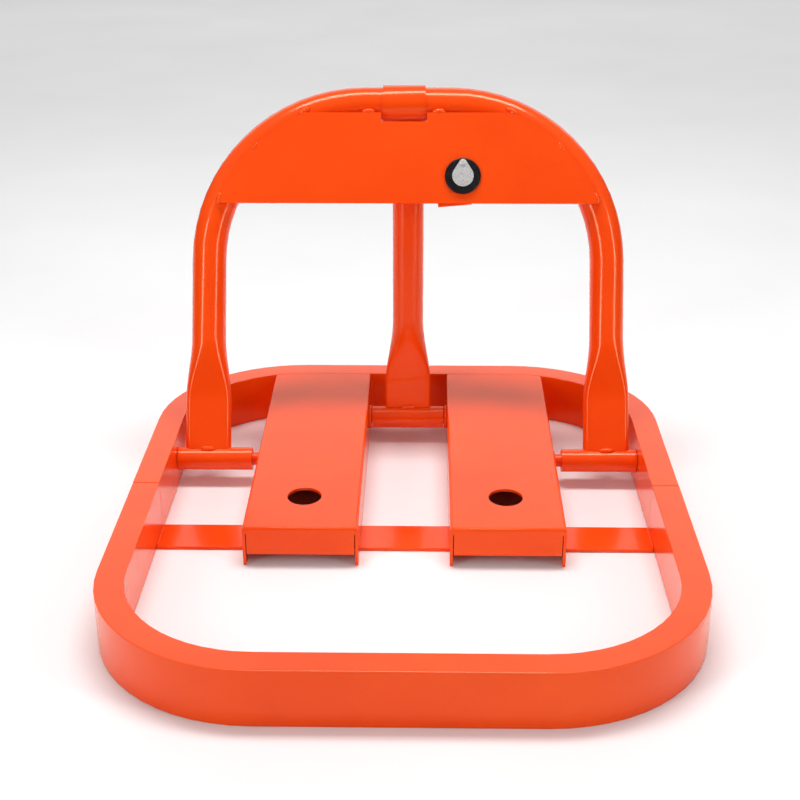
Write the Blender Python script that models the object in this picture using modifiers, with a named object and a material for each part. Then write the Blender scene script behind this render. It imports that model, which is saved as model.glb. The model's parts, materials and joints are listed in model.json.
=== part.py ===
"""Folding parking lock: a floor ring with a hinged hoop and a telescoping rear leg.

Metres, +Z up. The origin is the centre of the floor ring, on the floor. +X is to the
right, +Y runs to the back, where the rear leg stands, and the hoop folds down to -Y.
"""
import math

import bmesh
import bpy
from mathutils import Matrix

# Driving dimensions
GAP = 0.0003                # paint gap left between neighbouring pieces
RING_HALF_WIDTH = 0.240
RING_HALF_LENGTH = 0.278
RING_HEIGHT = 0.048
RING_SECTION = 0.0235       # width of the ring's hollow section
RING_WALL = 0.002
RING_CORNER = 0.134         # outer corner radius
RING_EDGE = 0.003           # rolled edge of the section
RING_SEAM_Y = 0.006         # where the two halves of the ring are welded
ARC_STEPS = 14

CHANNEL_INNER_X = 0.039
CHANNEL_OUTER_X = 0.1375
CHANNEL_FRONT_Y = -0.053
CHANNEL_FRONT_Z = 0.0366
CHANNEL_WALL = 0.0025
FLAP_BOTTOM_Z = 0.0105
FLAP_SLIT = 0.0008
FLAP_SLIT_TOP_Z = 0.030
ACCESS_HOLE_R = 0.015

STRIP_FRONT_Y = -0.028
STRIP_BACK_Y = 0.012
STRIP_THICKNESS = 0.003
ANCHOR_HOLE_R = 0.007

AXLE_R = 0.006
AXLE_BORE_R = AXLE_R + GAP
AXLE_Z = 0.024
FRONT_AXLE_Y = 0.103
REAR_AXLE_Y = 0.200
LUG_R = 0.010
LUG_THICKNESS = 0.0025

HOOP_LEAN = math.radians(24.0)
HOOP_R = 0.016
HOOP_WALL = 0.002
HOOP_LEG_X = 0.188
HOOP_BEND_R = 0.147
HOOP_LENGTH = 0.336         # front axle to the centreline of the top tube
HOOP_FOOT_HALF_WIDTH = 0.0215
HOOP_FOOT_HALF_DEPTH = 0.00635
HOOP_FOOT_TOP = 0.055
HOOP_ROUND_FROM = 0.115
HOOP_PIVOT_R = 0.01075
HOOP_PIVOT_INNER_X = 0.146

PLATE_THICKNESS = 0.0025
PLATE_BOTTOM = 0.240
PLATE_TOP = 0.325
NOTCH_HALF_WIDTH = 0.0215
NOTCH_BOTTOM = 0.3165
GUARD_X = 0.0445
GUARD_SIZE = (0.032, 0.010, 0.0032)
GUARD_DROP = 0.0017         # how far its middle hangs below the plate
LOCK_X = 0.0514
LOCK_UP = 0.2655            # front axle to the lock, along the hoop
LOCK_BARREL_R = 0.0092
LOCK_PLUG_R = 0.0075
LOCK_DRIVE_HALF = 0.0035
NUT_CORNER_R = 0.0150
NUT_THICKNESS = 0.005
BEZEL_R = 0.01675
BEZEL_THICKNESS = 0.0025
COVER_R = 0.010
COVER_PIVOT_UP = 0.0122
COVER_THICKNESS = 0.0006
RIVET_R = 0.001
CAM_LENGTH = 0.031
CAM_HALF_WIDTH = 0.007
CAM_THICKNESS = 0.003

LEG_R = 0.015
LEG_WALL = 0.0018
LEG_LENGTH = 0.285
LEG_FOOT_HALF_WIDTH = 0.0225
LEG_FOOT_HALF_DEPTH = 0.003
LEG_FOOT_TOP = 0.035
LEG_ROUND_FROM = 0.100
LEG_PIVOT_R = 0.011
LEG_PIVOT_HALF_LENGTH = 0.0355
STRUT_R = 0.01225
STRUT_WALL = 0.0025
STRUT_FOOT = 0.105
SLEEVE_X = -0.0037          # the sleeve sits a little left of centre
SLEEVE_INNER_R = HOOP_R + GAP
SLEEVE_OUTER_R = 0.0182
SLEEVE_HALF_WIDTH = 0.020

# Worked out from the driving dimensions. A depth is measured forward of the hoop's plane.
TOP_Y = FRONT_AXLE_Y + HOOP_LENGTH * math.sin(HOOP_LEAN)
TOP_Z = AXLE_Z + HOOP_LENGTH * math.cos(HOOP_LEAN)
LEG_LEAN = math.atan2(TOP_Y - REAR_AXLE_Y, TOP_Z - AXLE_Z)
LEG_TO_TOP = math.hypot(TOP_Y - REAR_AXLE_Y, TOP_Z - AXLE_Z)
RING_INNER_X = RING_HALF_WIDTH - RING_SECTION
RING_INNER_Y = RING_HALF_LENGTH - RING_SECTION
CHANNEL_X = (CHANNEL_INNER_X + CHANNEL_OUTER_X) / 2
CHANNEL_BACK_Y = RING_INNER_Y - GAP
PLATE_BACK = HOOP_R + GAP
PLATE_FRONT = PLATE_BACK + PLATE_THICKNESS
BEZEL_BACK = PLATE_FRONT + GAP
BEZEL_FRONT = BEZEL_BACK + BEZEL_THICKNESS
COVER_BACK = BEZEL_FRONT + GAP
COVER_FRONT = COVER_BACK + COVER_THICKNESS
PLUG_FRONT = BEZEL_FRONT - GAP
PLUG_BACK = -0.008
CAM_FRONT = PLUG_BACK - GAP
CAM_BACK = CAM_FRONT - CAM_THICKNESS

# Colour, roughness and metallic value of each finish
FINISHES = {
    "orange_paint": ((0.95, 0.10, 0.012), 0.32, 0.0),
    "dark_steel": ((0.035, 0.035, 0.04), 0.35, 0.9),
    "bright_steel": ((0.75, 0.75, 0.74), 0.25, 1.0),
    "zinc": ((0.55, 0.56, 0.58), 0.40, 1.0),
}


def clear_scene():
    for old in list(bpy.data.objects):
        bpy.data.objects.remove(old, do_unlink=True)


def make_collection(name):
    collection = bpy.data.collections.new(name)
    bpy.context.scene.collection.children.link(collection)
    return collection


def make_axis(name, y, lean):
    """An empty on a cross axle, whose +Z runs up the leaning frame that turns on it."""
    empty = bpy.data.objects.new(name, None)
    empty.empty_display_size = 0.02
    empty.location = (0.0, y, AXLE_Z)
    empty.rotation_euler = (-lean, 0.0, 0.0)
    PARTS.objects.link(empty)
    return empty


def own_material(name, finish):
    colour, roughness, metallic = FINISHES[finish]
    material = bpy.data.materials.new(name)
    material.use_nodes = True
    shader = material.node_tree.nodes["Principled BSDF"]
    shader.inputs["Base Color"].default_value = (*colour, 1.0)
    shader.inputs["Roughness"].default_value = roughness
    shader.inputs["Metallic"].default_value = metallic
    return material


def add_mesh(name, mesh, collection):
    obj = bpy.data.objects.new(name, mesh)
    collection.objects.link(obj)
    return obj


def as_node(obj, finish, parent=None):
    """Make an object a finished piece: its own material, smooth shading and parent."""
    obj.data.materials.clear()
    obj.data.materials.append(own_material(obj.name, finish))
    obj.data.shade_smooth()
    obj.data.set_sharp_from_angle(angle=math.radians(35.0))
    obj.parent = parent
    return obj


def as_cutter(obj, parent=None):
    obj.hide_render = True
    obj.display_type = "WIRE"
    obj.parent = parent
    return obj


def mesh_from(name, edit):
    bmesh.ops.recalc_face_normals(edit, faces=edit.faces)
    mesh = bpy.data.meshes.new(name)
    edit.to_mesh(mesh)
    edit.free()
    return mesh


def make_box(name, low, high, collection):
    edit = bmesh.new()
    bmesh.ops.create_cube(edit, size=1.0)
    for vert in edit.verts:
        vert.co = [a + (b - a) * (c + 0.5) for a, b, c in zip(low, high, vert.co)]
    return add_mesh(name, mesh_from(name, edit), collection)


def make_rod(name, radius, start_x, end_x, y, z, collection, sides=32, chamfer=0.0):
    """A round bar along X."""
    edit = bmesh.new()
    bmesh.ops.create_cone(edit, cap_ends=True, segments=sides, radius1=radius,
                          radius2=radius, depth=end_x - start_x)
    if chamfer:
        rims = [e for e in edit.edges if abs(e.verts[0].co.z - e.verts[1].co.z) < 1e-6]
        bmesh.ops.bevel(edit, geom=rims, offset=chamfer, segments=1, affect="EDGES")
    obj = add_mesh(name, mesh_from(name, edit), collection)
    obj.location = ((start_x + end_x) / 2, y, z)
    obj.rotation_euler = (0.0, math.radians(90.0), 0.0)
    return obj


def make_turned(name, profile, collection, sides=32):
    """A closed (radius, height) loop, listed down its outer side, turned about Z."""
    edit = bmesh.new()
    verts = [edit.verts.new((radius, 0.0, height)) for radius, height in profile]
    for here, after in zip(verts, verts[1:] + verts[:1]):
        edit.edges.new((here, after))
    mesh = bpy.data.meshes.new(name)
    edit.to_mesh(mesh)
    edit.free()
    obj = add_mesh(name, mesh, collection)
    screw = obj.modifiers.new("turn", "SCREW")
    screw.steps = sides
    screw.render_steps = sides
    screw.use_merge_vertices = True
    screw.merge_threshold = 0.00001
    return obj


def make_tube(name, outer, inner, start_x, end_x, y, z, collection):
    """A round tube along X."""
    half = (end_x - start_x) / 2
    profile = [(outer, half), (outer, -half), (inner, -half), (inner, half)]
    obj = make_turned(name, profile, collection)
    obj.location = ((start_x + end_x) / 2, y, z)
    obj.rotation_euler = (0.0, math.radians(90.0), 0.0)
    return obj


def make_flat(name, outline, thickness, collection):
    """A flat outline in XY, thickened about its plane."""
    curve = bpy.data.curves.new(name, "CURVE")
    curve.dimensions = "2D"
    curve.fill_mode = "BOTH"
    curve.extrude = thickness / 2
    spline = curve.splines.new("POLY")
    spline.points.add(len(outline) - 1)
    for point, (x, y) in zip(spline.points, outline):
        point.co = (x, y, 0.0, 1.0)
    spline.use_cyclic_u = True
    guide = add_mesh(name + "_outline", curve, collection)
    bpy.context.view_layer.update()
    shape = guide.evaluated_get(bpy.context.evaluated_depsgraph_get())
    mesh = bpy.data.meshes.new_from_object(shape)
    bpy.data.objects.remove(guide, do_unlink=True)
    edit = bmesh.new()
    edit.from_mesh(mesh)
    bmesh.ops.remove_doubles(edit, verts=edit.verts, dist=0.00001)
    bmesh.ops.recalc_face_normals(edit, faces=edit.faces)
    edit.to_mesh(mesh)
    edit.free()
    return add_mesh(name, mesh, collection)


def make_loft(name, rings, wall, collection):
    """An open tube through rings of points, thickened inwards to its wall."""
    edit = bmesh.new()
    loops = [[edit.verts.new(point) for point in ring] for ring in rings]
    count = len(rings[0])
    for here, after in zip(loops, loops[1:]):
        for i in range(count):
            j = (i + 1) % count
            edit.faces.new((here[i], here[j], after[j], after[i]))
    obj = add_mesh(name, mesh_from(name, edit), collection)
    shell = obj.modifiers.new("wall", "SOLIDIFY")
    shell.thickness = wall
    shell.offset = -1.0
    return obj


def cut(obj, cutter, operation="DIFFERENCE"):
    boolean = obj.modifiers.new(cutter.name, "BOOLEAN")
    boolean.operation = operation
    boolean.solver = "EXACT"
    boolean.object = cutter


def round_edges(obj, width, segments=2):
    bevel = obj.modifiers.new("edges", "BEVEL")
    bevel.width = width
    bevel.segments = segments
    bevel.limit_method = "ANGLE"
    bevel.angle_limit = math.radians(50.0)


def arc(centre_x, centre_y, radius, start, end, steps):
    """Points on an arc, with the angles in degrees."""
    angles = [math.radians(start + (end - start) * i / steps) for i in range(steps + 1)]
    return [(centre_x + radius * math.cos(a), centre_y + radius * math.sin(a)) for a in angles]


# Base: ring, channels, strip and axles

def ring_u(inset, side, overrun):
    """One long side round to the other, inset from the ring's outer face."""
    half_x = RING_HALF_WIDTH - inset
    half_y = RING_HALF_LENGTH - inset
    radius = RING_CORNER - inset
    start = side * RING_SEAM_Y + GAP / 2 - overrun
    right = [(half_x, start)] + arc(half_x - radius, half_y - radius, radius, 0, 90, ARC_STEPS)
    points = right + [(-x, y) for x, y in reversed(right)]
    return [(x, side * y) for x, y in points]


def ring_outline(outer_inset, inner_inset, side, overrun=0.0):
    return ring_u(outer_inset, side, overrun) + ring_u(inner_inset, side, overrun)[::-1]


def make_ring_half(name, side):
    half = make_flat(name, ring_outline(0.0, RING_SECTION, side), RING_HEIGHT, PARTS)
    half.location.z = RING_HEIGHT / 2
    round_edges(half, RING_EDGE)
    hollow_outline = ring_outline(RING_WALL, RING_SECTION - RING_WALL, side, overrun=0.01)
    hollow = make_flat(name + "_hollow", hollow_outline, RING_HEIGHT - 2 * RING_WALL, CUTTERS)
    hollow.location.z = RING_HEIGHT / 2
    cut(half, as_cutter(hollow))
    return as_node(half, "orange_paint")


def channel_block(name, low_x, high_x, front_y, back_y, bottom_z, drop, fold, collection):
    """A block under the channel's sloping top, with rounded folds along its top."""
    slope = (RING_HEIGHT - CHANNEL_FRONT_Z) / (CHANNEL_BACK_Y - CHANNEL_FRONT_Y)
    block = make_box(name, (low_x, front_y, bottom_z), (high_x, back_y, RING_HEIGHT), collection)
    edit = bmesh.new()
    edit.from_mesh(block.data)
    for vert in edit.verts:
        if vert.co.z > bottom_z + 0.001:
            vert.co.z = CHANNEL_FRONT_Z + slope * (vert.co.y - CHANNEL_FRONT_Y) - drop
    if fold:
        tops = [e for e in edit.edges if min(v.co.z for v in e.verts) > bottom_z + 0.001
                and min(v.co.y for v in e.verts) < back_y - 0.001]
        bmesh.ops.bevel(edit, geom=tops, offset=fold, segments=3, affect="EDGES", profile=0.5)
    edit.to_mesh(block.data)
    edit.free()
    return block


def make_channel(name, side):
    low_x, high_x = sorted((side * CHANNEL_INNER_X, side * CHANNEL_OUTER_X))
    channel = channel_block(name, low_x, high_x, CHANNEL_FRONT_Y, CHANNEL_BACK_Y, 0.0, 0.0,
                            CHANNEL_WALL, PARTS)
    in_low = low_x + CHANNEL_WALL
    in_high = high_x - CHANNEL_WALL
    in_front = CHANNEL_FRONT_Y + CHANNEL_WALL
    hollow = channel_block(name + "_hollow", in_low, in_high, in_front, CHANNEL_BACK_Y + 0.01,
                           -0.01, CHANNEL_WALL, 0.0, CUTTERS)
    cut(channel, as_cutter(hollow))
    mouth = make_box(name + "_mouth", (in_low, CHANNEL_FRONT_Y - 0.01, -0.01),
                     (in_high, in_front + 0.005, FLAP_BOTTOM_Z), CUTTERS)
    cut(channel, as_cutter(mouth))
    for end, slit_x in (("low", in_low), ("high", in_high - FLAP_SLIT)):
        slit = make_box(f"{name}_slit_{end}", (slit_x, CHANNEL_FRONT_Y - 0.01, 0.005),
                        (slit_x + FLAP_SLIT, in_front + 0.001, FLAP_SLIT_TOP_Z), CUTTERS)
        cut(channel, as_cutter(slit))
    notch = make_box(name + "_notch", (low_x - 0.01, STRIP_FRONT_Y - GAP, -0.01),
                     (high_x + 0.01, STRIP_BACK_Y + GAP, STRIP_THICKNESS + GAP), CUTTERS)
    cut(channel, as_cutter(notch))
    access = make_hole(name + "_access", ACCESS_HOLE_R, side * CHANNEL_X, 0.0, RING_HEIGHT)
    cut(channel, access)
    cut(channel, axle_hole(name + "_front_bore", side * CHANNEL_OUTER_X, FRONT_AXLE_Y))
    cut(channel, axle_hole(name + "_rear_bore", side * CHANNEL_INNER_X, REAR_AXLE_Y))
    return as_node(channel, "orange_paint")


def make_hole(name, radius, x, y, top):
    """An upright round cutter that ends 20 mm above the given height."""
    edit = bmesh.new()
    bmesh.ops.create_cone(edit, cap_ends=True, segments=40, radius1=radius, radius2=radius,
                          depth=0.04)
    obj = add_mesh(name, mesh_from(name, edit), CUTTERS)
    obj.location = (x, y, top)
    return as_cutter(obj)


def axle_hole(name, x, y):
    """A cutter for an axle's bore through one upright wall."""
    reach = 0.006
    return as_cutter(make_rod(name, AXLE_BORE_R, x - reach, x + reach, y, AXLE_Z, CUTTERS))


def make_base():
    make_ring_half("ring_front_half", -1)
    rear = make_ring_half("ring_rear_half", 1)
    around = make_flat("ring_around", ring_outline(-0.01, RING_SECTION + GAP, 1),
                       4 * RING_HEIGHT, CUTTERS)
    as_cutter(around)
    for label, side in (("left", -1), ("right", 1)):
        cut(rear, axle_hole(f"ring_bore_{label}", side * RING_INNER_X, FRONT_AXLE_Y))
        cut(make_channel(f"channel_{label}", side), around)
        make_front_axle(label, side)
        make_lug(label, side)
    strip_x = RING_INNER_X - GAP
    strip = make_box("cross_strip", (-strip_x, STRIP_FRONT_Y, 0.0),
                     (strip_x, STRIP_BACK_Y, STRIP_THICKNESS), PARTS)
    strip_y = (STRIP_FRONT_Y + STRIP_BACK_Y) / 2
    for label, side in (("left", -1), ("right", 1)):
        cut(strip, make_hole(f"anchor_{label}", ANCHOR_HOLE_R, side * CHANNEL_X, strip_y, 0.0))
    as_node(strip, "orange_paint")
    rear_reach = CHANNEL_INNER_X + 0.015
    rear_axle = make_rod("rear_axle", AXLE_R, -rear_reach, rear_reach, REAR_AXLE_Y, AXLE_Z,
                         PARTS, chamfer=0.001)
    as_node(rear_axle, "orange_paint")


def make_front_axle(label, side):
    """A bar from inside the channel, through the hoop's pivot tube, into the ring wall."""
    inner = side * (CHANNEL_OUTER_X - 0.015)
    outer = side * (RING_INNER_X + RING_WALL - GAP)
    axle = make_rod(f"front_axle_{label}", AXLE_R, min(inner, outer), max(inner, outer),
                    FRONT_AXLE_Y, AXLE_Z, PARTS, chamfer=0.0008)
    return as_node(axle, "orange_paint")


def make_lug(label, side):
    """A thick washer on the rear axle, against the channel."""
    near = side * (CHANNEL_INNER_X - GAP)
    far = near - side * LUG_THICKNESS
    lug = make_tube(f"axle_lug_{label}", LUG_R, AXLE_BORE_R, min(near, far), max(near, far),
                    REAR_AXLE_Y, AXLE_Z, PARTS)
    return as_node(lug, "orange_paint")


# Tubes whose foot is pressed flat: sections run from round to a flat oval

def section(radius, half_width, half_depth, flatness, sides=24):
    """Points (across, deep) of a section between a circle and a flat oval."""
    points = []
    for i in range(sides):
        angle = 2 * math.pi * i / sides
        across = math.cos(angle)
        deep = math.sin(angle)
        end = 0.0 if abs(across) < 1e-6 else math.copysign(half_width - half_depth, across)
        flat_across = end + half_depth * across
        points.append((radius * across + flatness * (flat_across - radius * across),
                       deep * (radius + flatness * (half_depth - radius))))
    return points


def flatness_at(up, foot_top, round_from):
    """1 in the pressed foot, 0 in the round tube, and a smooth ease between them."""
    t = min(max((up - foot_top) / (round_from - foot_top), 0.0), 1.0)
    return 1.0 - t * t * (3.0 - 2.0 * t)


def leg_stations(start, foot_top, round_from, end, steps=8):
    ease = [foot_top + (round_from - foot_top) * i / steps for i in range(steps + 1)]
    return [start] + ease + [end]


def hoop_rings():
    """Rings up the right leg, over the top and down the left one, in the hoop's frame."""
    spring = HOOP_LENGTH - HOOP_BEND_R
    bend_x = HOOP_LEG_X - HOOP_BEND_R
    path = [(HOOP_LEG_X, up, 0.0) for up in
            leg_stations(HOOP_PIVOT_R * 0.7, HOOP_FOOT_TOP, HOOP_ROUND_FROM, spring)]
    bend_steps = 16
    for i in range(1, bend_steps + 1):
        turn = math.radians(90.0 * i / bend_steps)
        path.append((bend_x + HOOP_BEND_R * math.cos(turn),
                     spring + HOOP_BEND_R * math.sin(turn), turn))
    path += [(-x, up, math.pi - turn) for x, up, turn in reversed(path)]
    rings = []
    for x, up, turn in path:
        flatness = flatness_at(up, HOOP_FOOT_TOP, HOOP_ROUND_FROM)
        shape = section(HOOP_R, HOOP_FOOT_HALF_WIDTH, HOOP_FOOT_HALF_DEPTH, flatness)
        rings.append([(x + across * math.cos(turn), deep, up + across * math.sin(turn))
                      for across, deep in shape])
    return rings


def make_hoop():
    tube = make_loft("hoop_tube", hoop_rings(), HOOP_WALL, PARTS)
    saddle = as_cutter(make_rod("hoop_saddle", HOOP_PIVOT_R + GAP, -HOOP_LEG_X - 0.05,
                                HOOP_LEG_X + 0.05, 0.0, 0.0, CUTTERS, sides=48), HOOP_AXIS)
    cut(tube, saddle)
    as_node(tube, "orange_paint", HOOP_AXIS)
    for label, side in (("left", -1), ("right", 1)):
        ends = sorted((side * HOOP_PIVOT_INNER_X, side * (RING_INNER_X - 0.0005)))
        pivot = make_tube(f"hoop_pivot_tube_{label}", HOOP_PIVOT_R, AXLE_BORE_R, ends[0],
                          ends[1], 0.0, 0.0, PARTS)
        as_node(pivot, "orange_paint", HOOP_AXIS)


def stand_up(obj, x, up, depth):
    """Stand a piece modelled in XY in the hoop's plane, with its +Z facing forward."""
    obj.location = (x, -depth, up)
    obj.rotation_euler = (math.radians(90.0), 0.0, 0.0)
    return obj


def make_plate():
    spring = HOOP_LENGTH - HOOP_BEND_R
    bend_x = HOOP_LEG_X - HOOP_BEND_R
    low = math.degrees(math.asin((PLATE_BOTTOM - spring) / HOOP_BEND_R))
    high = math.degrees(math.asin((PLATE_TOP - spring) / HOOP_BEND_R))
    right = arc(bend_x, spring, HOOP_BEND_R, low, high, 12)
    notch = [(SLEEVE_X + NOTCH_HALF_WIDTH, PLATE_TOP), (SLEEVE_X + NOTCH_HALF_WIDTH, NOTCH_BOTTOM),
             (SLEEVE_X - NOTCH_HALF_WIDTH, NOTCH_BOTTOM), (SLEEVE_X - NOTCH_HALF_WIDTH, PLATE_TOP)]
    outline = right + notch + [(-x, up) for x, up in reversed(right)]
    plate = make_flat("front_plate", outline, PLATE_THICKNESS, PARTS)
    stand_up(plate, 0.0, 0.0, PLATE_BACK + PLATE_THICKNESS / 2)
    hole = make_hole("plate_hole", LOCK_BARREL_R + GAP, 0.0, 0.0, 0.0)
    stand_up(hole, LOCK_X, LOCK_UP, PLATE_FRONT)
    hole.parent = HOOP_AXIS
    cut(plate, hole)
    as_node(plate, "orange_paint", HOOP_AXIS)


def make_lock_guard():
    """A strip behind the plate's lower edge, under the lock, set a little askew."""
    width, height, depth = GUARD_SIZE
    guard = make_box("lock_guard", (-width / 2, 0.0, -depth / 2), (width / 2, height, depth / 2),
                     PARTS)
    stand_up(guard, GUARD_X, PLATE_BOTTOM - GUARD_DROP, PLATE_BACK - GAP - depth / 2)
    guard.rotation_euler = (Matrix.Rotation(math.radians(90.0), 3, "X")
                            @ Matrix.Rotation(math.radians(5.0), 3, "Z")).to_euler()
    as_node(guard, "orange_paint", HOOP_AXIS)


def make_housing():
    """The lock's flange and threaded barrel, one turned piece with a bore right through."""
    barrel_back = -0.004
    profile = [(BEZEL_R - 0.001, BEZEL_FRONT), (BEZEL_R, BEZEL_FRONT - 0.001),
               (BEZEL_R, BEZEL_BACK), (LOCK_BARREL_R, BEZEL_BACK), (LOCK_BARREL_R, barrel_back),
               (LOCK_PLUG_R + GAP, barrel_back), (LOCK_PLUG_R + GAP, BEZEL_FRONT)]
    housing = make_turned("lock_housing", profile, PARTS, sides=40)
    stand_up(housing, LOCK_X, LOCK_UP, 0.0)
    bore = make_hole("rivet_bore", RIVET_R + GAP, 0.0, 0.0, 0.0)
    stand_up(bore, LOCK_X, LOCK_UP + COVER_PIVOT_UP, BEZEL_FRONT)
    bore.parent = HOOP_AXIS
    cut(housing, bore)
    as_node(housing, "dark_steel", HOOP_AXIS)


def make_nut():
    half_height = NUT_THICKNESS / 2
    outer = arc(0.0, 0.0, NUT_CORNER_R, 0, 300, 5)
    nut = make_flat("lock_nut", outer, 2 * half_height, PARTS)
    stand_up(nut, LOCK_X, LOCK_UP, PLATE_BACK - GAP - half_height)
    bore = make_hole("nut_bore", LOCK_BARREL_R + GAP, 0.0, 0.0, 0.0)
    stand_up(bore, LOCK_X, LOCK_UP, PLATE_BACK)
    bore.parent = HOOP_AXIS
    cut(nut, bore)
    as_node(nut, "zinc", HOOP_AXIS)


def stepped_pin(name, sections, collection, sides=24):
    """Round steps (radius, low, high) stacked along Z as one solid, with capped ends."""
    edit = bmesh.new()
    rim = []
    for radius, low, high in sections:
        rim += [(radius, low), (radius, high)]
    loops = []
    for radius, height in rim:
        loops.append([edit.verts.new((radius * math.cos(2 * math.pi * i / sides),
                                      radius * math.sin(2 * math.pi * i / sides), height))
                      for i in range(sides)])
    for here, after in zip(loops, loops[1:]):
        for i in range(sides):
            j = (i + 1) % sides
            edit.faces.new((here[i], here[j], after[j], after[i]))
    edit.faces.new(loops[0])
    edit.faces.new(loops[-1])
    return add_mesh(name, mesh_from(name, edit), collection)


def make_lock_core():
    plug = stepped_pin("lock_cylinder", [(LOCK_PLUG_R, PLUG_BACK, PLUG_FRONT)], PARTS, sides=32)
    stand_up(plug, LOCK_X, LOCK_UP, 0.0)
    drive = make_box("plug_drive", (-LOCK_DRIVE_HALF, -LOCK_DRIVE_HALF, CAM_BACK),
                     (LOCK_DRIVE_HALF, LOCK_DRIVE_HALF, PLUG_BACK + 0.002), CUTTERS)
    keyway = make_box("plug_keyway", (-0.0011, -0.0045, PLUG_FRONT - 0.014),
                      (0.0011, 0.0045, PLUG_FRONT + 0.01), CUTTERS)
    tapping = stepped_pin("plug_tapping", [(0.0022, CAM_BACK - 0.01, CAM_BACK + 0.008)], CUTTERS)
    for tool in (drive, keyway, tapping):
        stand_up(tool, LOCK_X, LOCK_UP, 0.0)
        as_cutter(tool, HOOP_AXIS)
    cut(plug, drive, "UNION")
    cut(plug, keyway)
    cut(plug, tapping)
    as_node(plug, "bright_steel", HOOP_AXIS)
    make_cam()
    screw = stepped_pin("cam_screw", [(0.0055, CAM_BACK - GAP - 0.003, CAM_BACK - GAP),
                                      (0.0019, CAM_BACK - GAP, CAM_BACK + 0.007)], PARTS)
    stand_up(screw, LOCK_X, LOCK_UP, 0.0)
    as_node(screw, "zinc", HOOP_AXIS)


def make_cam():
    """The bolt of the lock. It points right when unlocked, and left under the striker."""
    outline = arc(0.0, 0.0, CAM_HALF_WIDTH, 90, 270, 10)
    outline += arc(CAM_LENGTH - CAM_HALF_WIDTH, 0.0, CAM_HALF_WIDTH, -90, 90, 10)
    cam = make_flat("lock_cam", outline, CAM_THICKNESS, PARTS)
    stand_up(cam, LOCK_X, LOCK_UP, CAM_FRONT - CAM_THICKNESS / 2)
    reach = LOCK_DRIVE_HALF + GAP
    square = make_box("cam_square", (-reach, -reach, -0.01), (reach, reach, 0.01), CUTTERS)
    stand_up(square, LOCK_X, LOCK_UP, CAM_FRONT - CAM_THICKNESS / 2)
    as_cutter(square, HOOP_AXIS)
    cut(cam, square)
    as_node(cam, "zinc", HOOP_AXIS)


def make_cover():
    """The drop-shaped dust cover. Its origin is on the rivet that it swings on."""
    neck_r = 0.0034
    spread = math.degrees(math.acos((COVER_R - neck_r) / COVER_PIVOT_UP))
    outline = arc(0.0, 0.0, neck_r, 90 - spread, 90 + spread, 8)
    outline += arc(0.0, -COVER_PIVOT_UP, COVER_R, 90 + spread, 450 - spread, 28)
    cover = make_flat("dust_cover", outline, COVER_THICKNESS, PARTS)
    pivot_up = LOCK_UP + COVER_PIVOT_UP
    stand_up(cover, LOCK_X, pivot_up, COVER_BACK + COVER_THICKNESS / 2)
    bore = make_hole("cover_bore", RIVET_R + GAP, 0.0, 0.0, 0.0)
    stand_up(bore, LOCK_X, pivot_up, COVER_FRONT)
    bore.parent = HOOP_AXIS
    cut(cover, bore)
    as_node(cover, "bright_steel", HOOP_AXIS)
    head = COVER_FRONT + GAP
    rivet = stepped_pin("cover_rivet", [(RIVET_R, BEZEL_BACK + 0.0005, head),
                                        (0.0030, head, head + 0.0003),
                                        (0.0020, head + 0.0006, head + 0.0007)], PARTS, sides=20)
    stand_up(rivet, LOCK_X, pivot_up, 0.0)
    as_node(rivet, "bright_steel", HOOP_AXIS)


def make_sleeve():
    sleeve = make_tube("hinge_sleeve", SLEEVE_OUTER_R, SLEEVE_INNER_R, SLEEVE_X - SLEEVE_HALF_WIDTH,
                       SLEEVE_X + SLEEVE_HALF_WIDTH, 0.0, HOOP_LENGTH, PARTS)
    as_node(sleeve, "orange_paint", HOOP_AXIS)


# Rear leg, in a frame whose +Z runs up the leg from the rear axle

def make_leg():
    rings = []
    stations = leg_stations(LEG_PIVOT_R * 0.9, LEG_FOOT_TOP, LEG_ROUND_FROM, LEG_LENGTH)
    for up in stations:
        flatness = flatness_at(up, LEG_FOOT_TOP, LEG_ROUND_FROM)
        shape = section(LEG_R, LEG_FOOT_HALF_WIDTH, LEG_FOOT_HALF_DEPTH, flatness)
        rings.append([(across, deep, up) for across, deep in shape])
    tube = make_loft("leg_tube", rings, LEG_WALL, PARTS)
    saddle = as_cutter(make_rod("leg_saddle", LEG_PIVOT_R + GAP, -0.06, 0.06, 0.0, 0.0, CUTTERS,
                                sides=48), LEG_AXIS)
    cut(tube, saddle)
    as_node(tube, "orange_paint", LEG_AXIS)
    pivot = make_tube("rear_pivot_tube", LEG_PIVOT_R, AXLE_BORE_R, -LEG_PIVOT_HALF_LENGTH,
                      LEG_PIVOT_HALF_LENGTH, 0.0, 0.0, PARTS)
    as_node(pivot, "orange_paint", LEG_AXIS)
    make_striker()
    strut_top = LEG_TO_TOP - SLEEVE_OUTER_R - 2 * GAP
    half = (strut_top - STRUT_FOOT) / 2
    bore_r = STRUT_R - STRUT_WALL
    strut = make_turned("strut_tube", [(STRUT_R, half), (STRUT_R, -half), (bore_r, -half),
                                       (bore_r, half)], PARTS)
    strut.location = (0.0, 0.0, STRUT_FOOT + half)
    as_node(strut, "zinc", LEG_AXIS)


def make_striker():
    """An angle on the leg's right side. The lock's cam turns in under its shelf."""
    near = LEG_R + GAP
    wall = 0.003
    shelf_end = 0.036
    shelf_low = 0.2485
    shelf_high = shelf_low + wall
    tail = 0.2245
    width = 0.022
    outline = [(near, tail), (near + wall, tail), (near + wall, shelf_low),
               (shelf_end, shelf_low), (shelf_end, shelf_high), (near, shelf_high)]
    striker = make_flat("striker_bracket", outline, width, PARTS)
    striker.rotation_euler = (math.radians(90.0), 0.0, 0.0)
    striker.location = (0.0, -0.005, 0.0)
    as_node(striker, "orange_paint", LEG_AXIS)


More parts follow.
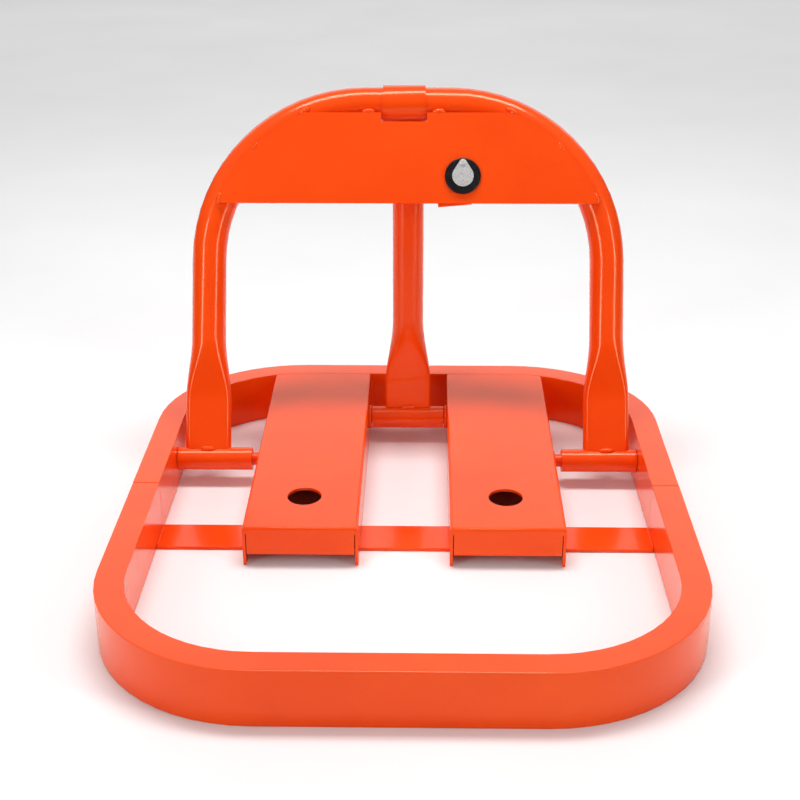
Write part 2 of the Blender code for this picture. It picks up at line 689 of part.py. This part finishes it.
clear_scene()
PARTS = make_collection("folding_parking_lock")
CUTTERS = make_collection("cutters")
HOOP_AXIS = make_axis("hoop_axis", FRONT_AXLE_Y, HOOP_LEAN)
LEG_AXIS = make_axis("leg_axis", REAR_AXLE_Y, LEG_LEAN)
make_base()
make_hoop()
make_plate()
make_lock_guard()
make_housing()
make_nut()
make_lock_core()
make_cover()
make_sleeve()
make_leg()
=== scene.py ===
"""Looks of the folding parking lock: paint, plated metal, welds, floor, lights and camera."""
import json
import math

import bmesh
import bpy
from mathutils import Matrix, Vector


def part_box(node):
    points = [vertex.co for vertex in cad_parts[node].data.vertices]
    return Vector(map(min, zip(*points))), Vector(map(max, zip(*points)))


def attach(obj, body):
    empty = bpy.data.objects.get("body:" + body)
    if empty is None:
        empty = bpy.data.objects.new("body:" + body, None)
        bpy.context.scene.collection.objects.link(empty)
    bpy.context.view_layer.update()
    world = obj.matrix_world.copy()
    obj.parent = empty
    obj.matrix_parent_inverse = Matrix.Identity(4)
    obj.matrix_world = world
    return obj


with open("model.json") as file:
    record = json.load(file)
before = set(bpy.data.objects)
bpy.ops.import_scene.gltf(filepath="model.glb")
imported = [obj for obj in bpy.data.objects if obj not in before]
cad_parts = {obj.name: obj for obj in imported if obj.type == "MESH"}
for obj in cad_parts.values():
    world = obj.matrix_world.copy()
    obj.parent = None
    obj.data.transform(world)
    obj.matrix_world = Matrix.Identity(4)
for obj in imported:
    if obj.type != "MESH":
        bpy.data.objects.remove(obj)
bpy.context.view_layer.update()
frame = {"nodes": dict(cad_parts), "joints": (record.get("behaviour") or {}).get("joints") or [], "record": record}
NODES = frame["nodes"]
SLOTS = {part["node"]: part["material_slot"] for part in frame["record"]["subparts"]}
JOINTS = {joint["name"]: joint for joint in frame["joints"]}

# Where things are, from the frame

HOOP_PIVOT = Vector(JOINTS["hoop_fold"]["pos_m"])
LEG_PIVOT = Vector(JOINTS["leg_fold"]["pos_m"])
FORWARD = Vector(JOINTS["cover_swing"]["axis"]).normalized()
HOOP_UP = FORWARD.cross(Vector((1.0, 0.0, 0.0))).normalized()
LEG_UP = Vector(JOINTS["strut_slide"]["axis"]).normalized()
LEG_FORWARD = Vector((1.0, 0.0, 0.0)).cross(LEG_UP) * -1.0
SIDES = (("left", -1), ("right", 1))


def in_hoop(x, up, depth):
    """A point in the hoop's leaning frame, with depth in front of the tubes' plane."""
    return Vector((x, HOOP_PIVOT.y, HOOP_PIVOT.z)) + HOOP_UP * up + FORWARD * depth


def in_leg(x, up, depth):
    """A point in the rear leg's leaning frame, with depth in front of the tube's middle."""
    return Vector((x, LEG_PIVOT.y, LEG_PIVOT.z)) + LEG_UP * up + LEG_FORWARD * depth


# Materials

def start_material(name):
    """A new node material, its tree and its shader."""
    material = bpy.data.materials.new(name)
    material.use_nodes = True
    tree = material.node_tree
    return material, tree, tree.nodes["Principled BSDF"]


def noise(tree, scale, detail=3.0, roughness=0.5):
    """Noise over the object's own coordinates, so that it stays on a moving part."""
    place = tree.nodes.new("ShaderNodeTexCoord")
    texture = tree.nodes.new("ShaderNodeTexNoise")
    texture.inputs["Scale"].default_value = scale
    texture.inputs["Detail"].default_value = detail
    texture.inputs["Roughness"].default_value = roughness
    tree.links.new(place.outputs["Object"], texture.inputs["Vector"])
    return texture.outputs["Fac"]


def ramp(tree, source, stops):
    """A colour ramp, from (place, colour) pairs."""
    node = tree.nodes.new("ShaderNodeValToRGB")
    node.color_ramp.elements[0].position = stops[0][0]
    node.color_ramp.elements[0].color = (*stops[0][1], 1.0)
    node.color_ramp.elements[1].position = stops[-1][0]
    node.color_ramp.elements[1].color = (*stops[-1][1], 1.0)
    for place, colour in stops[1:-1]:
        node.color_ramp.elements.new(place).color = (*colour, 1.0)
    tree.links.new(source, node.inputs["Fac"])
    return node.outputs["Color"]


def spread(tree, source, low, high):
    """A 0 to 1 value mapped to a range."""
    node = tree.nodes.new("ShaderNodeMapRange")
    node.inputs["From Min"].default_value = 0.25
    node.inputs["From Max"].default_value = 0.75
    node.inputs["To Min"].default_value = low
    node.inputs["To Max"].default_value = high
    tree.links.new(source, node.inputs["Value"])
    return node.outputs["Result"]


def bump(tree, source, distance, strength, before=None):
    """A bump of so many metres, on top of the one before."""
    node = tree.nodes.new("ShaderNodeBump")
    node.inputs["Distance"].default_value = distance
    node.inputs["Strength"].default_value = strength
    tree.links.new(source, node.inputs["Height"])
    if before is not None:
        tree.links.new(before, node.inputs["Normal"])
    return node.outputs["Normal"]


def orange_paint():
    """Glossy powder paint: orange peel, slow drifts of tone and a clear, even gloss."""
    material, tree, shader = start_material("orange_paint")
    tone = ramp(tree, noise(tree, 9.0, 4.0), [(0.30, (0.900, 0.062, 0.001)),
                                              (0.55, (0.945, 0.072, 0.002)),
                                              (0.75, (0.980, 0.084, 0.003))])
    tree.links.new(tone, shader.inputs["Base Color"])
    tree.links.new(spread(tree, noise(tree, 60.0, 5.0), 0.17, 0.26), shader.inputs["Roughness"])
    shader.inputs["Specular IOR Level"].default_value = 0.42
    shader.inputs["Coat Weight"].default_value = 0.25
    shader.inputs["Coat Roughness"].default_value = 0.08
    shader.inputs["Coat Tint"].default_value = (1.0, 0.86, 0.66, 1.0)
    shader.inputs["Specular Tint"].default_value = (1.0, 0.70, 0.38, 1.0)
    wave = bump(tree, noise(tree, 45.0, 2.0), 0.0012, 0.25)
    peel = bump(tree, noise(tree, 650.0, 2.0), 0.00012, 0.35, wave)
    tree.links.new(peel, shader.inputs["Normal"])
    return material


def brushed_metal(name, dark, bright, rough, stretch, grain, metallic=1.0):
    """Turned or rolled metal: fine grain, small stains and an uneven polish."""
    material, tree, shader = start_material(name)
    tree.links.new(ramp(tree, noise(tree, 180.0, 6.0, 0.65), [(0.3, dark), (0.7, bright)]),
                   shader.inputs["Base Color"])
    tree.links.new(spread(tree, noise(tree, 420.0, 4.0), rough - 0.08, rough + 0.10),
                   shader.inputs["Roughness"])
    shader.inputs["Metallic"].default_value = metallic
    place = tree.nodes.new("ShaderNodeTexCoord")
    squeeze = tree.nodes.new("ShaderNodeMapping")
    squeeze.inputs["Scale"].default_value = stretch
    tree.links.new(place.outputs["Object"], squeeze.inputs["Vector"])
    lines = tree.nodes.new("ShaderNodeTexNoise")
    lines.inputs["Scale"].default_value = 300.0
    lines.inputs["Detail"].default_value = 4.0
    tree.links.new(squeeze.outputs["Vector"], lines.inputs["Vector"])
    tree.links.new(bump(tree, lines.outputs["Fac"], 0.0001, grain), shader.inputs["Normal"])
    return material


MATERIALS = {
    "orange_paint": orange_paint(),
    "dark_steel": brushed_metal("dark_steel", (0.020, 0.019, 0.021), (0.060, 0.057, 0.060), 0.34,
                                (1.0, 1.0, 1.0), 0.25),
    "bright_steel": brushed_metal("bright_steel", (0.66, 0.66, 0.65), (0.88, 0.88, 0.87), 0.30,
                                  (8.0, 1.0, 1.0), 0.20, metallic=0.55),
    "zinc": brushed_metal("zinc", (0.42, 0.43, 0.45), (0.62, 0.63, 0.65), 0.36,
                          (1.0, 1.0, 0.15), 0.35),
}


# Carried-over CAD pieces: points merged, some edges softly rounded, and shaded smooth

SMOOTH_BELOW = 32.0         # degrees between faces
ROUND_ABOVE = 45.0
MERGE_DISTANCE = 0.000005
EDGE_ROUNDING = {"cross_strip": 0.0006, "lock_guard": 0.0006,
                 "lock_cam": 0.0004, "lock_nut": 0.0005, "striker_bracket": 0.0005}


def smooth_group():
    """Geometry nodes that shade smooth, apart from edges at SMOOTH_BELOW or sharper."""
    group = bpy.data.node_groups.new("smooth_by_angle", "GeometryNodeTree")
    group.interface.new_socket("Geometry", in_out="INPUT", socket_type="NodeSocketGeometry")
    group.interface.new_socket("Geometry", in_out="OUTPUT", socket_type="NodeSocketGeometry")
    nodes = group.nodes
    start = nodes.new("NodeGroupInput")
    end = nodes.new("NodeGroupOutput")
    faces = nodes.new("GeometryNodeSetShadeSmooth")
    edges = nodes.new("GeometryNodeSetShadeSmooth")
    edges.domain = "EDGE"
    angle = nodes.new("GeometryNodeInputMeshEdgeAngle")
    small = nodes.new("FunctionNodeCompare")
    small.data_type = "FLOAT"
    small.operation = "LESS_THAN"
    small.inputs["B"].default_value = math.radians(SMOOTH_BELOW)
    link = group.links.new
    link(start.outputs[0], faces.inputs["Geometry"])
    link(faces.outputs["Geometry"], edges.inputs["Geometry"])
    link(angle.outputs["Unsigned Angle"], small.inputs["A"])
    link(small.outputs["Result"], edges.inputs["Shade Smooth"])
    link(edges.outputs["Geometry"], end.inputs[0])
    return group


SMOOTH = smooth_group()


def finish_node(name):
    """Give a CAD node its material and its modifiers."""
    obj = NODES[name]
    edge = EDGE_ROUNDING.get(name)
    obj.data.materials.clear()
    obj.data.materials.append(MATERIALS[SLOTS[name]])
    weld = obj.modifiers.new("weld", "WELD")
    weld.merge_threshold = MERGE_DISTANCE
    if edge:
        rounding = obj.modifiers.new("rounding", "BEVEL")
        rounding.width = edge
        rounding.segments = 2
        rounding.limit_method = "ANGLE"
        rounding.angle_limit = math.radians(ROUND_ABOVE)
    obj.modifiers.new("smooth", "NODES").node_group = SMOOTH
    weighted = obj.modifiers.new("flat_faces", "WEIGHTED_NORMAL")
    weighted.keep_sharp = True
    weighted.weight = 100


# Weld beads
# A bead's middle stands a little proud of the joint that it follows.

CIRCLE_POINTS = 24
BEAD_SIDES = 10
BEAD_STEP = 0.30            # between rings, in radii
BEAD_TAPER = 2.8            # higher keeps more of an open bead at full size
BEAD_TIP = 0.12             # the least part of its section left at an open end
RIPPLE, RIPPLE_LENGTH = 0.10, 0.95      # part of the radius, and radii
DRIFT, DRIFT_LENGTH = 0.06, 4.3

AXLE_BEAD, AXLE_PROUD, AXLE_OFF_WALL = 0.0017, 0.0008, 0.0006
LUG_BEAD, LUG_PROUD, LUG_OFF_WALL = 0.0014, 0.0004, 0.0010
STRIP_BEAD, STRIP_INSET, STRIP_END_GAP = 0.0020, 0.0003, 0.003
CHANNEL_BEAD, CHANNEL_INSET = 0.0018, 0.0004
CHANNEL_BEAD_LOW, CHANNEL_BEAD_HIGH = 0.006, 0.040
CHANNEL_BACK_GAP = {"outer": 0.0040, "inner": 0.0002}
FOOT_BEAD, FOOT_PROUD, FOOT_DEPTH, FOOT_BEAD_HALF = 0.0024, 0.0010, 0.0068, 0.0065
FOOT_X = 0.188
LEG_BEAD, LEG_PROUD, LEG_DEPTH, LEG_BEAD_HALF = 0.0022, 0.0008, 0.0036, 0.0070
STRIKER_BEAD, STRIKER_LOW, STRIKER_HIGH = 0.0010, 0.227, 0.247
PLATE_BEAD, PLATE_DEPTH, PLATE_BEAD_HALF = 0.0028, 0.0166, 0.0060
PLATE_WELDS = (             # name, across, up the hoop, and slant in radians
    ("chord_left", -0.0975, 0.3262, 0.6), ("chord_right", 0.0975, 0.3262, -0.6),
    ("sleeve_left", -0.0370, 0.3262, 0.0), ("sleeve_right", 0.0290, 0.3262, 0.0),
    ("corner_left", -0.1765, 0.2450, 1.3), ("corner_right", 0.1765, 0.2450, -1.3),
    ("bend_left", -0.1430, 0.2930, 0.9), ("bend_right", 0.1430, 0.2930, -0.9))


def resample(points, step, closed):
    """Evenly spaced points along a path of points, and the path's length."""
    route = list(points) + ([points[0]] if closed else [])
    lengths = [0.0]
    for here, after in zip(route, route[1:]):
        lengths.append(lengths[-1] + (after - here).length)
    count = max(4, round(lengths[-1] / step))
    spaced = []
    segment = 0
    for i in range(count + (0 if closed else 1)):
        target = lengths[-1] * i / count
        while segment < len(route) - 2 and lengths[segment + 1] < target:
            segment += 1
        part = (target - lengths[segment]) / (lengths[segment + 1] - lengths[segment])
        spaced.append(route[segment].lerp(route[segment + 1], part))
    return spaced, lengths[-1]


def bead(name, points, radius, body, closed=False):
    """A weld bead: a rippled, slightly uneven tube along a path, tapered at open ends."""
    spaced, length = resample(points, radius * BEAD_STEP, closed)
    count = len(spaced)
    edit = bmesh.new()
    rings = []
    for i, centre in enumerate(spaced):
        before = spaced[i - 1] if closed or i else centre
        after = spaced[(i + 1) % count] if closed or i < count - 1 else centre
        along = (after - before).normalized()
        if not rings:
            side = along.orthogonal().normalized()
        side = (side - along * side.dot(along)).normalized()
        other = along.cross(side)
        travelled = length * i / count
        ripple = 1.0 + RIPPLE * math.sin(travelled / (radius * RIPPLE_LENGTH) * 2.0 * math.pi)
        drift = travelled / (radius * DRIFT_LENGTH) * 2.0 * math.pi + len(name)
        ripple += DRIFT * math.sin(drift)
        ends = 1.0
        if not closed:
            ends = max(BEAD_TIP, 1.0 - abs(2.0 * i / (count - 1) - 1.0) ** BEAD_TAPER)
        size = radius * ripple * math.sqrt(ends)
        angles = [2.0 * math.pi * k / BEAD_SIDES for k in range(BEAD_SIDES)]
        rings.append([edit.verts.new(centre + (side * math.cos(a) + other * math.sin(a)) * size)
                      for a in angles])
    pairs = list(zip(rings, rings[1:]))
    if closed:
        pairs.append((rings[-1], rings[0]))
    else:
        edit.faces.new(rings[0])
        edit.faces.new(rings[-1])
    for here, there in pairs:
        shift = 0
        if closed and there is rings[0]:
            shift = min(range(BEAD_SIDES), key=lambda k: (there[k].co - here[0].co).length)
        for k in range(BEAD_SIDES):
            n = (k + 1) % BEAD_SIDES
            edit.faces.new((here[k], here[n], there[(n + shift) % BEAD_SIDES],
                            there[(k + shift) % BEAD_SIDES]))
    bmesh.ops.recalc_face_normals(edit, faces=edit.faces)
    mesh = bpy.data.meshes.new(name)
    edit.to_mesh(mesh)
    edit.free()
    mesh.shade_smooth()
    mesh.materials.append(MATERIALS["orange_paint"])
    obj = bpy.data.objects.new(name, mesh)
    bpy.context.scene.collection.objects.link(obj)
    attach(obj, body)


def circle_x(x, y, z, radius):
    """Points round an axis along X, from the +Y side and upwards."""
    angles = [math.radians(360.0 * i / CIRCLE_POINTS) for i in range(CIRCLE_POINTS)]
    return [Vector((x, y + radius * math.cos(a), z + radius * math.sin(a))) for a in angles]


def half_height(node):
    low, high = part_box(node)
    return (high.z - low.z) / 2


def add_base_welds():
    axle_r = half_height("rear_axle")
    strip_low, strip_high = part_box("cross_strip")
    for label, side in SIDES:
        low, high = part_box(f"channel_{label}")
        outer, inner = (high.x, low.x) if side > 0 else (low.x, high.x)
        bead(f"axle_weld_{label}",
             circle_x(outer + side * AXLE_OFF_WALL, HOOP_PIVOT.y, HOOP_PIVOT.z,
                      axle_r + AXLE_PROUD), AXLE_BEAD, "base", closed=True)
        lug_r = half_height(f"axle_lug_{label}")
        bead(f"lug_weld_{label}",
             circle_x(inner - side * LUG_OFF_WALL, LEG_PIVOT.y, LEG_PIVOT.z,
                      lug_r + LUG_PROUD), LUG_BEAD, "base", closed=True)
        end_x = (strip_high.x if side > 0 else strip_low.x) - side * STRIP_INSET
        bead(f"strip_weld_{label}",
             [Vector((end_x, strip_low.y + STRIP_END_GAP, strip_high.z)),
              Vector((end_x, strip_high.y - STRIP_END_GAP, strip_high.z))],
             STRIP_BEAD, "base")
        for end, wall, way in (("outer", outer, side), ("inner", inner, -side)):
            wall_x = wall + way * CHANNEL_INSET
            back_y = high.y - CHANNEL_BACK_GAP[end]
            bead(f"channel_weld_{label}_{end}",
                 [Vector((wall_x, back_y, CHANNEL_BEAD_LOW)),
                  Vector((wall_x, back_y, CHANNEL_BEAD_HIGH))], CHANNEL_BEAD, "base")


def add_foot_welds(name, place, x, node, size, body):
    """A bead in front of a flattened foot and one behind it, along its pivot tube."""
    radius, proud, depth, half = size
    rise = math.sqrt((half_height(node) + proud) ** 2 - depth ** 2)
    for face, sign in (("front", 1), ("back", -1)):
        bead(f"{name}_{face}", [place(x - half, rise, sign * depth),
                                place(x + half, rise, sign * depth)], radius, body)


def add_hoop_welds():
    size = (FOOT_BEAD, FOOT_PROUD, FOOT_DEPTH, FOOT_BEAD_HALF)
    for label, side in SIDES:
        add_foot_welds(f"foot_weld_{label}", in_hoop, side * FOOT_X, "hoop_pivot_tube_right",
                       size, "hoop")
    for label, x, up, slant in PLATE_WELDS:
        across = math.cos(slant) * PLATE_BEAD_HALF
        along = math.sin(slant) * PLATE_BEAD_HALF
        bead(f"plate_weld_{label}", [in_hoop(x - across, up - along, PLATE_DEPTH),
                                     in_hoop(x + across, up + along, PLATE_DEPTH)],
             PLATE_BEAD, "hoop")


def add_leg_welds():
    leg_low, leg_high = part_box("leg_tube")
    add_foot_welds("leg_weld", in_leg, (leg_low.x + leg_high.x) / 2, "rear_pivot_tube",
                   (LEG_BEAD, LEG_PROUD, LEG_DEPTH, LEG_BEAD_HALF), "leg")
    striker_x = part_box("striker_bracket")[0].x
    bead("striker_weld", [in_leg(striker_x, STRIKER_LOW, 0.0),
                          in_leg(striker_x, STRIKER_HIGH, 0.0)], STRIKER_BEAD, "leg")


# Stage

FLOOR_SIZE, FLOOR_Z = 40.0, -0.0002
SKY = ((0.0, 0.03), (0.25, 0.10), (0.6, 0.34), (1.0, 0.45))     # height and brightness
LIGHT_TARGET = Vector((0.0, 0.0, 0.15))
SOFTBOXES = (               # name, place, width and height, and power in watts
    ("top_softbox", (0.0, 0.25, 2.0), (1.6, 0.42), 29.0),
    ("back_softbox", (0.0, 3.2, 1.4), (5.0, 2.2), 30.0),
    ("left_softbox", (-1.5, -1.35, 0.75), (0.26, 1.3), 13.5),
    ("right_softbox", (1.7, -0.95, 0.75), (0.26, 1.3), 11.0))
CAMERA_AT = (0.017, -1.1105, 0.626)
CAMERA_LENS, SENSOR_WIDTH = 64.3, 36.0
CAMERA_PITCH, CAMERA_TURN, CAMERA_ROLL = 66.0, 1.09, -0.15      # degrees


def make_floor():
    bpy.ops.mesh.primitive_plane_add(size=FLOOR_SIZE, location=(0.0, 0.0, FLOOR_Z))
    floor = bpy.context.object
    floor.name = "floor"
    material, tree, shader = start_material("pale_floor")
    tone = ramp(tree, noise(tree, 3.0), [(0.3, (0.88, 0.88, 0.88)), (0.7, (0.92, 0.92, 0.92))])
    tree.links.new(tone, shader.inputs["Base Color"])
    shader.inputs["Roughness"].default_value = 0.7
    floor.data.materials.append(material)


def make_area(name, place, size, power):
    light = bpy.data.lights.new(name, "AREA")
    light.shape = "RECTANGLE"
    light.size, light.size_y = size
    light.energy = power
    obj = bpy.data.objects.new(name, light)
    obj.location = place
    obj.visible_camera = False
    obj.rotation_euler = (LIGHT_TARGET - Vector(place)).to_track_quat("-Z", "Y").to_euler()
    bpy.context.scene.collection.objects.link(obj)


def make_lights():
    bpy.context.scene.view_settings.view_transform = "Standard"
    world = bpy.data.worlds.new("studio")
    bpy.context.scene.world = world
    world.use_nodes = True
    tree = world.node_tree
    direction = tree.nodes.new("ShaderNodeTexCoord")
    parts = tree.nodes.new("ShaderNodeSeparateXYZ")
    tree.links.new(direction.outputs["Generated"], parts.inputs["Vector"])
    sky = [(height, (level, level, level)) for height, level in SKY]
    tree.links.new(ramp(tree, parts.outputs["Z"], sky), tree.nodes["Background"].inputs["Color"])
    tree.nodes["Background"].inputs["Strength"].default_value = 1.0
    for softbox in SOFTBOXES:
        make_area(*softbox)


def make_camera():
    """From the front, looking 24 degrees down, and 17 mm right of centre."""
    camera = bpy.data.cameras.new("camera")
    camera.lens = CAMERA_LENS
    camera.sensor_width = SENSOR_WIDTH
    obj = bpy.data.objects.new("camera", camera)
    obj.location = CAMERA_AT
    obj.rotation_euler = (math.radians(CAMERA_PITCH), 0.0, math.radians(CAMERA_TURN))
    obj.rotation_euler.rotate_axis("Z", math.radians(CAMERA_ROLL))
    bpy.context.scene.collection.objects.link(obj)
    bpy.context.scene.camera = obj


make_camera()
make_lights()
make_floor()
for node_name in NODES:
    finish_node(node_name)
add_base_welds()
add_hoop_welds()
add_leg_welds()
